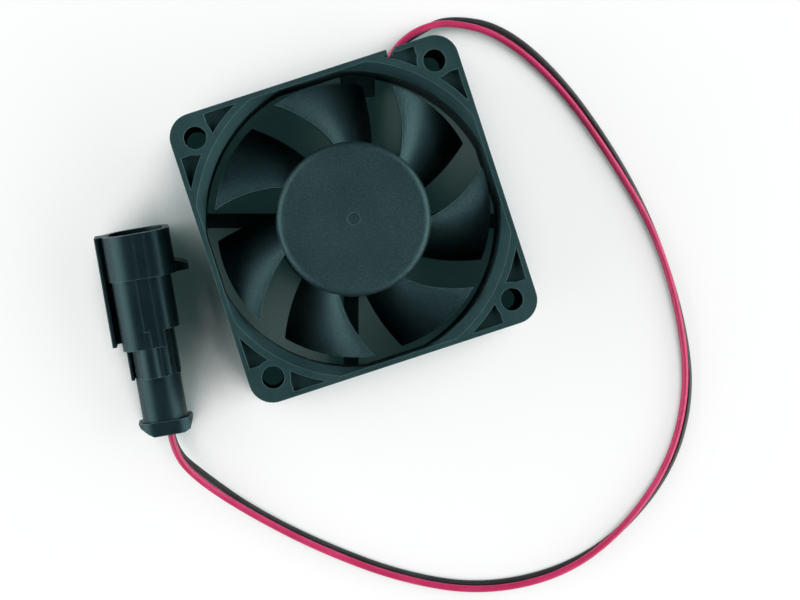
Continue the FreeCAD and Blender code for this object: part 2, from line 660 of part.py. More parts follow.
# ---------------------------------------------------------------- stator
def cross_plate(name, bottom, top, ring_outer, side_play, shoe_thickness):
    """Four-pole plate: centre ring, arms and pole shoes."""
    half = f"(arm_width / 2 + {side_play})"
    arm = ("-(core_radius - 0.5)", "core_radius - 0.5")
    shoes = ring(f"{name}_shoes", f"core_radius - {shoe_thickness}", "core_radius", bottom, top)
    slot = block(f"{name}_slot", ("core_radius - pole_thickness - 1.5", "core_radius + 1"),
                 ("-pole_gap / 2", "pole_gap / 2"), (f"{bottom} - 1", f"{top} + 1"))
    slots = turned_copies(f"{name}_slots", turn(f"{name}_slot_turned", slot, 45), 4)
    solid = fused(f"{name}_solid", [
        cylinder(f"{name}_middle", ring_outer, bottom, top),
        block(f"{name}_arm_x", arm, (f"-{half}", half), (bottom, top)),
        block(f"{name}_arm_y", (f"-{half}", half), arm, (bottom, top)),
        cut(f"{name}_poles", shoes, slots)])
    bore = cylinder(f"{name}_bore", "tube_radius + fit_play", f"{bottom} - 1", f"{top} + 1")
    return cut(f"{name}_plate", solid, bore)


def stator_core():
    """Lamination stack."""
    item = cross_plate("core", "boss_top + insulator_thickness",
                       "boss_top + insulator_thickness + core_height",
                       "tube_radius + core_ring", "0", "pole_thickness")
    item.Label = "stator_core"
    return item


def insulator(side, bottom, lip_bottom, pin_range):
    """Plastic insulator on one end of the stack, with a lip along the pole tips."""
    name = f"{side}_insulator"
    plate = cross_plate(name, bottom, f"{bottom} + insulator_thickness", "tube_radius + core_ring",
                        "arm_cover", "pole_thickness")
    lip_ring = ring(f"{name}_lip_ring", "core_radius - 0.7", "core_radius", lip_bottom,
                    f"{lip_bottom} + insulator_lip")
    slot = block(f"{name}_lip_slot", ("core_radius - 2", "core_radius + 1"), ("-pole_gap", "pole_gap"),
                 (f"{lip_bottom} - 1", f"{lip_bottom} + insulator_lip + 1"))
    slots = turned_copies(f"{name}_lip_slots", turn(f"{name}_lip_slot_turned", slot, 45), 4)
    lip = cut(f"{name}_lip", lip_ring, slots)
    parts = [plate, lip]
    if pin_range:
        post = cylinder(f"{name}_post", "pin_radius", *pin_range, x="pin_circle")
        foot = block(f"{name}_foot", ("tube_radius + core_ring - 0.4", "pin_circle + pin_radius + 0.3"),
                     ("-0.7", "0.7"), (bottom, f"{bottom} + insulator_thickness"))
        pin = turn(f"{name}_pin_turned", fused(f"{name}_pin", [post, foot]), 45)
        parts.append(turned_copies(f"{name}_posts", pin, 4))
    return fused(name, parts)


def windings():
    """Four coils, each about its insulated arm."""
    low = "boss_top"
    high = "boss_top + 2 * insulator_thickness + core_height"
    inner = "(arm_width / 2 + arm_cover + coil_play)"
    items = []
    for index in range(4):
        outer = block(f"coil_outer_{index}", ("coil_start", "coil_end"),
                      (f"-{inner} - coil_build", f"{inner} + coil_build"),
                      (f"{low} - coil_play - coil_build", f"{high} + coil_play + coil_build"))
        window = block(f"coil_window_{index}", ("coil_start - 1", "coil_end + 1"), (f"-{inner}", inner),
                       (f"{low} - coil_play", f"{high} + coil_play"))
        smooth = rounded(f"coil_smooth_{index}", outer, size("coil_round"), X_AXIS)
        items.append(turn(f"winding_{index + 1}", cut(f"coil_{index}", smooth, window), 90 * index))
    return items


def chip(name, angle, inset, length, width, height):
    """Small electronic package on the front of the circuit board; inset is from the board's edge."""
    middle = f"{BOARD} - {inset}"
    item = block(name + "_block", (f"{middle} - {length} / 2", f"{middle} + {length} / 2"),
                 (f"-{width} / 2", f"{width} / 2"),
                 ("board_bottom + board_thickness", f"board_bottom + board_thickness + {height}"))
    return turn(name, item, angle)


def circuit_board():
    """Ring board on the base's ledge, with holes for the winding pins and the soldered leads."""
    bottom, top = "board_bottom", "board_bottom + board_thickness"
    disc = ring("board_disc", "tube_radius + 2 * fit_play + boss_wall", BOARD, bottom, top)
    pin_hole = cylinder("board_pin_hole", "pin_radius + 0.05", f"{bottom} - 1", f"{top} + 1",
                        x="pin_circle")
    holes = [turned_copies("board_pin_holes", turn("board_pin_hole_turned", pin_hole, 45), 4)]
    for index, start in enumerate((f"{BOARD} - red_inset", f"{BOARD} - black_inset")):
        hole = cylinder(f"lead_hole_{index}", "conductor_radius + 0.05", f"{bottom} - 1", f"{top} + 1",
                        x=start)
        holes.append(turn(f"board_lead_hole_{index}", hole, size("lead_angle")))
    return cut("circuit_board", disc, fused("board_holes", holes))


def board_parts():
    """Components on the circuit board."""
    hall = chip("hall_sensor", 0, "1.2", "1.6", "3.0", "1.4")
    driver = chip("driver_chip", 200, "3.0", "3.9", "4.9", "1.5")
    capacitor = chip("capacitor", 250, "2.4", "1.6", "3.2", "1.2")
    resistors = [chip(f"resistor_{index}", angle, "2.0", "0.8", "1.6", "0.5")
                 for index, angle in enumerate((110, 130, 290))]
    return [hall, driver, capacitor, fused("resistors", resistors)]


def solder_joints():
    """Domes of solder about the leads' bare ends and the winding pins on the board's front."""
    top = "board_bottom + board_thickness"
    items = []
    for index, start in enumerate((f"{BOARD} - red_inset", f"{BOARD} - black_inset")):
        dome = doc.addObject("Part::Cone", f"lead_dome_{index}")
        bind(dome, Radius1="0.8", Radius2="conductor_radius + 0.1", Height="0.7", x=start, z=top)
        hole = cylinder(f"lead_dome_hole_{index}", "conductor_radius + 0.01", f"{top} - 1",
                        f"{top} + 1", x=start)
        items.append(turn(f"lead_solder_{index}", cut(f"lead_solder_dome_{index}", dome, hole),
                          size("lead_angle")))
    dome = doc.addObject("Part::Cone", "pin_dome")
    bind(dome, Radius1="0.7", Radius2="pin_radius + 0.1", Height="0.6", x="pin_circle", z=top)
    hole = cylinder("pin_dome_hole", "pin_radius + 0.01", f"{top} - 1", f"{top} + 1", x="pin_circle")
    first = turn("pin_solder_turned", cut("pin_solder_first", dome, hole), 45)
    return fused("solder_joints", items + [turned_copies("pin_solder", first, 4)])


# ---------------------------------------------------------------- rotor
def rotor_yoke():
    """Steel cup that closes the magnet's field."""
    wall_outer = "core_radius + magnet_gap + magnet_thickness + fit_play + yoke_wall"
    top = "hub_top - hub_face"
    return turned("rotor_yoke", [
        (f"{wall_outer} - yoke_wall", "magnet_bottom - 0.4"), (wall_outer, "magnet_bottom - 0.4"),
        (wall_outer, top), ("hub_boss_radius + fit_play", top),
        ("hub_boss_radius + fit_play", f"{top} - yoke_wall"),
        (f"{wall_outer} - yoke_wall", f"{top} - yoke_wall")])


def ring_magnet():
    """Rubber-bonded ferrite ring inside the cup."""
    return ring("ring_magnet", "core_radius + magnet_gap",
                "core_radius + magnet_gap + magnet_thickness", "magnet_bottom",
                "magnet_bottom + magnet_height")


def hub():
    """Impeller hub: a cup with a shaft boss and a small recess in its face."""
    under = "hub_top - hub_face"
    inner = "core_radius + magnet_gap + magnet_thickness + 2 * fit_play + yoke_wall"
    shaft_bore = "shaft_radius + fit_play / 2"
    cup = turned("hub_cup", [
        ("0", "shaft_top"), (shaft_bore, "shaft_top"), (shaft_bore, "hub_boss_bottom"),
        ("hub_boss_radius", "hub_boss_bottom"), ("hub_boss_radius", under), (inner, under),
        (inner, "hub_bottom"), ("hub_radius", "hub_bottom"), ("hub_radius", "hub_top"),
        ("dimple_radius", "hub_top"), ("dimple_radius", "hub_top - dimple_depth"),
        ("0", "hub_top - dimple_depth")])
    return rounded_rim("hub", cup, size("hub_round"), size("hub_radius"), size("hub_top"))


def blade_place(radius, share):
    """Angle and level of the middle surface: share runs from the leading to the trailing edge."""
    span = (radius - size("hub_radius")) / (value(TIP) - size("hub_radius"))
    lead_angle = size("root_lead_angle") + span * (size("tip_lead_angle") - size("root_lead_angle"))
    trail_angle = size("root_trail_angle") + span * (size("tip_trail_angle") - size("root_trail_angle"))
    angle = lead_angle + share * (trail_angle - lead_angle)
    rise = size("blade_rise_share")
    fall = rise * share + (1 - rise) * share ** 2
    return math.radians(angle), size("blade_top") - fall * (size("blade_top") - size("blade_bottom"))


def blade_section(distance, middle_angle):
    """Closed section of a blade on the plane at one distance along its middle direction."""
    places = []
    for step in range(BLADE_STEPS + 1):
        share = step / BLADE_STEPS
        radius = distance
        for repeat in range(12):
            angle, level = blade_place(radius, share)
            radius = distance / math.cos(angle - middle_angle)
        places.append(Vector(radius * math.sin(angle - middle_angle), level, 0))
    sides = ([], [])
    for index, place in enumerate(places):
        way = places[min(index + 1, BLADE_STEPS)] - places[max(index - 1, 0)]
        across = Vector(-way.y, way.x, 0).normalize()
        swell = (1 - size("blade_edge_share")) * math.sin(math.pi * index / BLADE_STEPS)
        half = size("blade_thickness") / 2 * (size("blade_edge_share") + swell)
        sides[0].append(place + across * half)
        sides[1].append(place - across * half)

    def world(place):
        along = Vector(math.cos(middle_angle), math.sin(middle_angle), 0) * distance
        across = Vector(-math.sin(middle_angle), math.cos(middle_angle), 0) * place.x
        return along + across + Z_AXIS * place.y

    curves = []
    for side in sides:
        curve = Part.BSplineCurve()
        curve.interpolate([world(place) for place in side])
        curves.append(curve)
    ends = [Part.LineSegment(world(sides[0][end]), world(sides[1][end])) for end in (0, BLADE_STEPS)]
    return Part.Wire(Part.__sortEdges__([shape.toShape() for shape in curves + ends]))


def blades():
    """All blades: one lofted through its sections, trimmed to the hub and the tips, then repeated."""
    middle_angle = math.radians((size("root_trail_angle") + size("tip_lead_angle")) / 2)
    first, last = value("hub_radius - blade_root - 2 * blade_spare"), value(f"{TIP} + blade_spare")
    pace = (last - first) / (BLADE_SECTIONS - 1)
    sections = [blade_section(first + pace * step, middle_angle) for step in range(BLADE_SECTIONS)]
    blank = doc.addObject("Part::Feature", "blade_blank")
    blank.Shape = Part.makeLoft(sections, True, False)
    zone = ring("blade_zone", "hub_radius - blade_root", TIP, "blade_bottom - 3 * blade_spare",
                "blade_top + 3 * blade_spare")
    blade = common("blade", blank, zone)
    return turned_copies("blade_ring", blade, int(size("blade_count")))


def impeller():
    """Hub and blades, one moulding."""
    return turn("impeller", fused("impeller_moulding", [hub(), blades()]), size("blade_turn_angle"))


# ---------------------------------------------------------------- leads
def radial(distance, level):
    """Point above the lead strut's middle."""
    angle = math.radians(size("lead_angle"))
    return Vector(distance * math.cos(angle), distance * math.sin(angle), level)


def exit_way():
    """Direction in which the leads leave the frame."""
    angle = math.radians(size("exit_angle"))
    return Vector(math.cos(angle), math.sin(angle), 0)


def knee_point(level):
    """Point where a lead meets the outer wall and bends along it."""
    way = value(f"{WALL_LINE} / sin(lead_angle)")
    return radial(way, level)


def exit_point(level):
    """Point where a lead leaves the frame."""
    outward = exit_way() * size("knee_run")
    return Vector(value("side_length / 2 - exit_inset"), value(WALL_LINE) + outward.y, level)


def red_level():
    """Height of the upper lead in the strut."""
    return size("black_level") + 2 * size("wire_radius") + size("wire_gap")


def inner_lead(name, start, level):
    """Stretch of a lead that the frame holds, with its bare end turned up into the circuit board."""
    bare = size("conductor_radius")
    first = radial(start + 0.8, level)
    leave = exit_point(level)
    item = lead(name, [first, knee_point(level), leave - exit_way() * size("knee_run"), leave],
                size("wire_radius"))
    top = size("board_bottom") + size("board_thickness") + 0.5
    foot = radial(start, level)
    post = Part.makeCylinder(bare, top - level, foot)
    run = Part.makeCylinder(bare, 0.9, foot, radial(1, 0))
    item.Shape = item.Shape.fuse([post, run, Part.makeSphere(bare, foot)]).removeSplitter()
    return item


# The free stretches lie on the floor: out at the slot, round the fan and up into the connector's
# tail. The red lead rests on the black one, most of the way leaning to one side of it.
RED_ROUTE = [
    (25.2, 33.2, 2.95), (31.4, 32.9, 2.6), (40.8, 27.5, 1.75), (49.4, 14.0, 1.5), (55.7, -6.3, 1.95),
    (59.2, -23.5, 2.3), (58.2, -42.7, 2.25), (54.4, -56.5, 1.9), (46.2, -68.8, 1.9),
    (32.6, -78.5, 2.3), (18.3, -83.0, 2.0), (1.6, -81.0, 1.8), (-13.3, -73.2, 2.0),
    (-27.1, -62.1, 2.0), (-38.3, -50.7, 2.8), (-46.1, -40.9, 5.1)]
BLACK_ROUTE = [
    (25.5, 32.7, 1.4), (31.7, 33.7, 1.1), (42.1, 28.6, 0.75), (50.6, 14.5, 0.75), (56.8, -6.1, 0.75),
    (59.2, -23.5, 0.75), (58.7, -42.7, 0.75), (55.4, -56.9, 0.75), (46.9, -69.5, 0.75),
    (32.6, -78.7, 0.75), (18.2, -82.0, 0.75), (1.8, -80.0, 0.75), (-12.8, -72.4, 0.75),
    (-26.4, -61.4, 0.75), (-37.7, -50.1, 1.1), (-45.1, -39.9, 2.0)]


def plug_place():
    """Placement of everything that belongs to the connector."""
    turned_plug = FreeCAD.Rotation(Z_AXIS, size("plug_turn_angle"))
    rotation = turned_plug * FreeCAD.Rotation(X_AXIS, size("plug_tilt_angle"))
    return FreeCAD.Placement(Vector(size("tail_x"), size("tail_y"), size("tail_z")), rotation)


def cavity_point(side, along):
    """Point on the axis of a terminal cavity: side is 1 for the upper one, -1 for the lower one."""
    local = Vector(size("cavity_x"), along, side * size("cavity_pitch") / 2)
    return plug_place().multVec(local)


def free_lead(name, level, route, side):
    """Lead from the slot in the frame to the tail of the connector."""
    start = exit_point(level)
    points = [start, start + exit_way() * size("exit_run")]
    points += [Vector(*place) for place in route]
    points += [cavity_point(side, -size("tail_run")), cavity_point(side, 0)]
    return lead(name, points, size("wire_radius"))


# ---------------------------------------------------------------- connector
# Built with its tail face at y = 0, its mouth at +Y and its top at +Z, then laid beside the fan.
def bar(name, x_range, y_range, z_range, radius):
    """Bar along Y with rounded long edges; the radius is an expression too."""
    return rounded(name, block(name + "_block", x_range, y_range, z_range), value(radius), Y_AXIS)


def stage(name, y_range, radius):
    """Stage of the housing, centred on its axis, as wide and high as its own sizes say."""
    return bar(name, (f"-{name}_width / 2", f"{name}_width / 2"), y_range,
               (f"-{name}_height / 2", f"{name}_height / 2"), radius)


def bead(name, radius, x, z, y_range):
    """Round swelling along a stage of the housing."""
    item = doc.addObject("Part::Cylinder", name)
    bind(item, Radius=radius, Height=f"({y_range[1]}) - ({y_range[0]})")
    item.Placement = FreeCAD.Placement(Vector(), FreeCAD.Rotation(X_AXIS, -90))
    return bind(item, x=x, y=y_range[0], z=z)


def housing_stages():
    """Outside of the housing, from the tail barrel to the shroud, with swellings over both terminals."""
    tail = ("collar_back", "step_end + 1")
    middle = ("waist_end", "body_end")
    shroud = ("body_end", "plug_length")
    waist = bar("waist", ("waist_shift - waist_width / 2", "waist_shift + waist_width / 2"),
                ("barrel_end", "step_end + 1"), ("-waist_height / 2", "waist_height / 2"), "waist_round")
    recess = block("recess", ("recess_side", "waist_width"), ("barrel_end - 1", "step_end + 1"),
                   ("recess_level", "waist_height"))
    body = fused("middle_body", [
        stage("middle", middle, "middle_round"),
        bead("left_middle_bead", "middle_bead_left", "middle_left_edge - middle_bead_left",
             "middle_height / 2 + left_crest - middle_bead_left", middle),
        bead("right_middle_bead", "middle_bead_right", "middle_right_edge - middle_bead_right",
             "middle_height / 2 + right_crest - middle_bead_right", middle)])
    step = block("step", ("step_side", "middle_width"), ("waist_end - 1", "step_end"),
                 ("-middle_height", "middle_height"))
    return [
        stage("barrel", tail, "barrel_round"),
        cut("waist_side", waist, recess),
        bead("waist_bead", "waist_bead", "middle_left_edge - waist_bead",
             "middle_height / 2 + left_crest - waist_bead", ("barrel_end", "step_end")),
        cut("middle_side", body, step),
        bar("shroud", ("-shroud_left", "shroud_right"), shroud, ("-shroud_below", "shroud_above"),
            "shroud_round"),
        bead("left_shroud_bead", "shroud_bead_left", "shroud_left_edge - shroud_bead_left",
             "shroud_above + left_crest - shroud_bead_left", shroud),
        bead("right_shroud_bead", "shroud_bead_right", "shroud_right_edge - shroud_bead_right",
             "shroud_above + right_crest - shroud_bead_right", shroud)]


def housing_rails():
    """Side rail, short rib and latch wedge of the housing."""
    rail = ("waist_end + 1", "plug_length")
    rib = ("barrel_end - 0.2", "waist_end + 0.5")
    rail_inner = "(rail_reach - rail_thickness)"
    rib_inner = "(rib_reach - rib_thickness)"
    overlap = "0.3"
    wedge = prism("latch_wedge", [
        ("shroud_right - 0.2", "plug_length - latch_start"), ("latch_reach", "plug_length - latch_nose"),
        ("latch_reach", "body_end"), ("middle_width / 2 - 0.5", "body_end")],
        "-latch_height / 2", "latch_height / 2")
    return [
        bar("rail_plate", ("-rail_reach", f"-{rail_inner}"), rail, ("-rail_below", "rail_above"),
            "rail_thickness / 3"),
        block("rail_web", (f"-{rail_inner} - {overlap}", "-middle_width / 2 + rail_thickness"), rail,
              ("-rail_below", "-rail_below + rail_thickness")),
        block("rail_bridge", (f"-{rail_inner} - {overlap}", "-shroud_left + shroud_wall"),
              ("body_end", "plug_length"), ("-rail_below", "rail_above - rail_thickness")),
        bar("rib_plate", ("-rib_reach", f"-{rib_inner}"), rib, ("-rib_below", "rib_above"),
            "rib_thickness / 3"),
        block("rib_web", (f"-{rib_inner} - {overlap}", "-waist_width / 2 + rib_thickness"), rib,
              ("-rib_below", "-rib_below + rib_thickness")),
        wedge]


def housing_cavities():
    """Mouth, terminal cavities and seal bores of the housing."""
    mouth = bar("mouth", ("-shroud_left + shroud_wall", "shroud_right - shroud_wall"),
                ("body_end - 1.5", "plug_length + 1"),
                ("-shroud_below + shroud_wall", "shroud_above - shroud_wall"),
                "shroud_round - shroud_wall")
    half_width = "(middle_width / 2 - shroud_wall)"
    half_height = "(middle_height / 2 - shroud_wall)"
    well = bar("well", (f"-{half_width}", half_width), ("mouth_floor", "body_end + 1"),
               (f"-{half_height}", half_height), "middle_round - shroud_wall")
    items = [mouth, well]
    for side, level in (("upper", "cavity_pitch / 2"), ("lower", "-cavity_pitch / 2")):
        items.append(bead(f"{side}_seal_bore", "seal_radius + fit_play", "cavity_x", level,
                          ("0", "seal_start + seal_length + 0.1")))
        items.append(bead(f"{side}_cavity", "terminal_radius", "cavity_x", level,
                          ("1", "mouth_floor + 1")))
    return items


def connector_housing():
    """Male housing of the two-way sealed connector."""
    solid = fused("housing_solid", housing_stages() + housing_rails())
    return cut("connector_housing", solid, fused("housing_cavities", housing_cavities()))


def connector_collar():
    """Collar that snaps over the tail and holds the wire seals in."""
    side = "(barrel_width / 2 + collar_wall)"
    half = "(collar_height / 2)"
    body = prism("collar_outline", [
        (f"-{side}", "collar_length"), (f"-{side} + 0.3", "collar_length - 0.9"),
        (f"-{side} + 1.7", "0.7"), (f"-{side} + 2.8", "0"), (f"{side} - 1.9", "0"),
        (f"{side} - 0.7", "0.5"), (f"{side} + 0.1", "collar_length - 0.5"),
        (f"{side} - 0.1", "collar_length")], f"-{half}", half)
    round_body = bar("collar_round", (f"-{side} - 0.3", f"{side} + 0.3"), ("-1", "collar_length + 1"),
                     (f"-{half}", half), "barrel_round - 0.2")
    room = ("collar_back", "collar_length + 1")
    inside = bar("collar_inside", ("-barrel_width / 2 - fit_play", "barrel_width / 2 + fit_play"), room,
                 ("-barrel_height / 2 - fit_play", "barrel_height / 2 + fit_play"), "barrel_round")
    holes = [bead(f"collar_hole_{index}", "wire_radius + fit_play", "cavity_x", level,
                  ("-1", "collar_back + 1"))
             for index, level in enumerate(("cavity_pitch / 2", "-cavity_pitch / 2"))]
    return cut("connector_collar", common("collar_blank", body, round_body),
               fused("collar_hollows", [inside] + holes))


def wire_seal(name, level):
    """Rubber seal about a lead, with three ribs."""
    blank = bead(name + "_blank", "seal_radius", "cavity_x", level,
                 ("seal_start", "seal_start + seal_length"))
    tools = [bead(name + "_hole", "wire_radius + fit_play", "cavity_x", level, ("0", "12"))]
    for index in range(2):
        low = f"seal_start + seal_length * {0.22 + 0.34 * index:.2f}"
        high = f"{low} + seal_length * 0.22"
        outer = bead(f"{name}_groove_outer_{index}", "seal_radius + 1", "cavity_x", level, (low, high))
        inner = bead(f"{name}_groove_inner_{index}", "seal_radius - seal_groove", "cavity_x", level,
                     (f"{low} - 1", f"{high} + 1"))
        tools.append(cut(f"{name}_groove_{index}", outer, inner))
    return cut(name, blank, fused(name + "_tools", tools))


def contact_pin(name, level):
    """Contact: a round body with a wire crimp behind and a flat blade in front."""
    body = bead(name + "_body", "terminal_radius - 0.1", "cavity_x", level,
                ("lead_depth + 0.1", "contact_body"))
    crimp = bead(name + "_crimp", "conductor_radius + 0.45", "cavity_x", level,
                 ("lead_depth + 0.02", "lead_depth + 1"))
    half = "(contact_width / 2)"
    blade = block(name + "_blade", (f"cavity_x - {half}", f"cavity_x + {half}"),
                  ("contact_body - 1", "contact_tip"),
                  (f"{level} - contact_thick / 2", f"{level} + contact_thick / 2"))
    return fused(name, [body, crimp, blade])


def pin_lock_plate():
    """Plate at the bottom of the mouth that locks both contacts."""
    half_width = "(middle_width / 2 - shroud_wall - lock_gap)"
    half_height = "(middle_height / 2 - shroud_wall - lock_gap)"
    plate = bar("lock_blank", (f"-{half_width}", half_width),
                ("mouth_floor", "mouth_floor + lock_thickness"), (f"-{half_height}", half_height),
                "middle_round - shroud_wall - lock_gap")
    half = "(contact_width / 2 + 0.1)"
    holes = [block(f"lock_hole_{index}", (f"cavity_x - {half}", f"cavity_x + {half}"), ("0", "contact_tip"),
                   (f"{level} - contact_thick / 2 - 0.1", f"{level} + contact_thick / 2 + 0.1"))
             for index, level in enumerate(("cavity_pitch / 2", "-cavity_pitch / 2"))]
    return cut("pin_lock_plate", plate, fused("lock_holes", holes))


def lead_end(name, level):
    """End of a lead inside the connector, from the tail face to the contact."""
    return bead(name, "wire_radius", "cavity_x", level, ("0", "lead_depth"))


def connector():
    """Every piece of the connector, laid where it belongs."""
    items = [connector_housing(), connector_collar(), pin_lock_plate()]
    for colour, level in (("red", "cavity_pitch / 2"), ("black", "-cavity_pitch / 2")):
        items += [wire_seal(f"{colour}_wire_seal", level), contact_pin(f"{colour}_contact_pin", level)]
        items.append(fused(f"{colour}_lead_end", [
            lead_end(f"{colour}_lead_end_tube", level),
            bead(f"{colour}_lead_end_core", "conductor_radius", "cavity_x", level,
                 ("lead_depth - 1", "lead_depth"))]))
    doc.recompute()
    for item in items:
        item.Placement = plug_place()
    return items


# ---------------------------------------------------------------- the whole fan
nodes = [frame_housing(), bearing_tube()]
nodes += bearing("rear", "rear_bearing_bottom") + bearing("front", "front_bearing_bottom")
nodes += [shaft(), retaining_clip(), thrust_washer(), preload_spring()]
nodes += [stator_core(),
          insulator("lower", "boss_top", "boss_top - insulator_lip", ("board_bottom - 0.3", "boss_top")),
          insulator("upper", "boss_top + insulator_thickness + core_height",
                    "boss_top + 2 * insulator_thickness + core_height", None)]
nodes += windings() + [circuit_board()] + board_parts() + [solder_joints()]
nodes += [impeller(), rotor_yoke(), ring_magnet()]
nodes.append(ring("rear_label", "0", "base_radius - label_margin",
                  "base_bottom - label_thickness", "base_bottom"))
nodes += [inner_lead("red_lead_inner", value(f"{BOARD} - red_inset"), red_level()),
          inner_lead("black_lead_inner", value(f"{BOARD} - black_inset"), size("black_level")),
          free_lead("red_lead", red_level(), RED_ROUTE, 1),
          free_lead("black_lead", size("black_level"), BLACK_ROUTE, -1)]
nodes += connector()

doc.recompute()
for item in doc.Objects:
    if "Invalid" in item.State or "Error" in item.State:
        raise RuntimeError(f"{item.Label} failed: {item.State}")
for node in nodes:
    if node.Shape.isNull() or not node.Shape.isValid() or not node.Shape.Solids:
        raise RuntimeError(f"{node.Label} has no valid solid")

os.makedirs("parts", exist_ok=True)
for node in nodes:
    node.Shape.exportStep(os.path.join("parts", node.Label + ".step"))
print(len(nodes), "nodes written")
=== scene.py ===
"""Looks of the server fan module: leads, materials, floor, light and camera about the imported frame."""
import math

import bpy
from mathutils import Matrix, Vector


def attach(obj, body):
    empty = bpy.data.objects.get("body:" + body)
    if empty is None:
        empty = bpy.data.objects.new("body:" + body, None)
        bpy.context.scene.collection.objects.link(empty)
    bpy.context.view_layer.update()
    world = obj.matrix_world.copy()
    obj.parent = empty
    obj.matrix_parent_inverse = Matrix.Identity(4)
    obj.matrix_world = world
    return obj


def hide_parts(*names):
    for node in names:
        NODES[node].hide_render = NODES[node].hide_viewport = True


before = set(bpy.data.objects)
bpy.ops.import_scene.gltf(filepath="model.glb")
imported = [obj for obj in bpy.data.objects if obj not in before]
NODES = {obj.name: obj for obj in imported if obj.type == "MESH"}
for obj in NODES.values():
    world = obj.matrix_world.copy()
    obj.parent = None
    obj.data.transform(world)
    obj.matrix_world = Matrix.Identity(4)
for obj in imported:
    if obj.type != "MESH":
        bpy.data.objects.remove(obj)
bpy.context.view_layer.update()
MM = 0.001

# ---------------------------------------------------------------- camera
CAMERA_PLACE = Vector((-0.0199, -0.0074, 0.700))
CAMERA_TARGET = Vector((0.0046, -0.0186, 0.0))
CAMERA_TURN = math.radians(-18.04)     # the picture's horizontal against +X
CAMERA_RIGHT = Vector((math.cos(CAMERA_TURN), math.sin(CAMERA_TURN), 0.0))
CAMERA_LENS, SENSOR_WIDTH = 152.8, 36.0    # millimetres
NEAREST_SEEN = 0.01                    # metres


def make_camera():
    """Long lens straight above the part, turned so that the fan lies askew in the picture."""
    data = bpy.data.cameras.new("camera")
    data.lens = CAMERA_LENS
    data.sensor_width = SENSOR_WIDTH
    data.clip_start = NEAREST_SEEN
    camera = bpy.data.objects.new("camera", data)
    back = (CAMERA_PLACE - CAMERA_TARGET).normalized()
    up = back.cross(CAMERA_RIGHT).normalized()
    right = up.cross(back)
    turn = Matrix((right, up, back)).transposed().to_4x4()
    camera.matrix_world = Matrix.Translation(CAMERA_PLACE) @ turn
    bpy.context.scene.collection.objects.link(camera)
    bpy.context.scene.camera = camera


# ---------------------------------------------------------------- node materials
MIX_FIRST, MIX_SECOND, MIX_RESULT = 6, 7, 2    # a mix node's colour sockets
EDGE_SHARP, EDGE_FLAT = 0.90, 0.99     # how far the rounded and the true direction agree
EDGE_MASK_SAMPLES, ROUND_SAMPLES, SHADE_SAMPLES = 6, 4, 16


